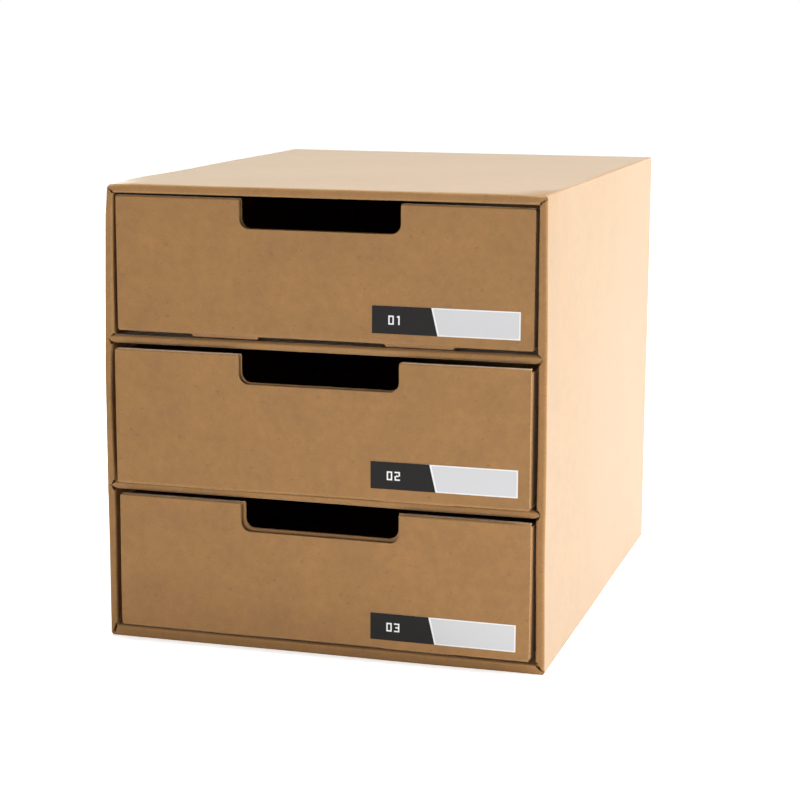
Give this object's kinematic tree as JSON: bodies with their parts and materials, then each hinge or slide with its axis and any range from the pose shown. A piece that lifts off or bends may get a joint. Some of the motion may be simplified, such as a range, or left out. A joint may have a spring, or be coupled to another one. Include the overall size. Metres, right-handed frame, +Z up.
{
  "type": "file box with drawers",
  "caption": "Desktop file box folded from corrugated kraft board, with stacked pull-out paper trays that have hand notches and small front labels.",
  "frame": {"origin": "on the underside, at the middle of the case's width and depth", "axes": "+X to the right seen from the front, +Y from the drawers' fronts to the back, +Z up"},
  "size_m": [0.2466, 0.3179, 0.254],
  "materials": {
    "kraft_outer": "matt brown kraft liner, fine fibre flecks",
    "kraft_inner": "matt brown kraft liner, fine fibre flecks",
    "label_paper": "satin printed paper"
  },
  "bodies": {
    "case": {"case_wrap": "kraft_outer", "top_lining": "kraft_inner", "bottom_lining": "kraft_inner", "back_panel": "kraft_outer", "back_flap_left": "kraft_inner", "back_flap_right": "kraft_inner", "shelf_lower": "kraft_outer", "shelf_upper": "kraft_outer", "left_lining_bottom": "kraft_inner", "right_lining_bottom": "kraft_inner", "left_lining_middle": "kraft_inner", "right_lining_middle": "kraft_inner", "left_lining_top": "kraft_inner", "right_lining_top": "kraft_inner"},
    "bottom_drawer": {"bottom_drawer_tray": "kraft_outer", "bottom_drawer_front_liner": "kraft_inner", "bottom_drawer_label": "label_paper"},
    "middle_drawer": {"middle_drawer_tray": "kraft_outer", "middle_drawer_front_liner": "kraft_inner", "middle_drawer_label": "label_paper"},
    "top_drawer": {"top_drawer_tray": "kraft_outer", "top_drawer_front_liner": "kraft_inner", "top_drawer_label": "label_paper"}
  },
  "joints": [
    {"name": "bottom_drawer_slide", "type": "slide", "parent": "case", "child": "bottom_drawer", "axis": [0, -1, 0], "range_m": [-0.0053, 0.24]},
    {"name": "middle_drawer_slide", "type": "slide", "parent": "case", "child": "middle_drawer", "axis": [0, -1, 0], "range_m": [-0.0059, 0.24]},
    {"name": "top_drawer_slide", "type": "slide", "parent": "case", "child": "top_drawer", "axis": [0, -1, 0], "range_m": [0, 0.24]}
  ]
}
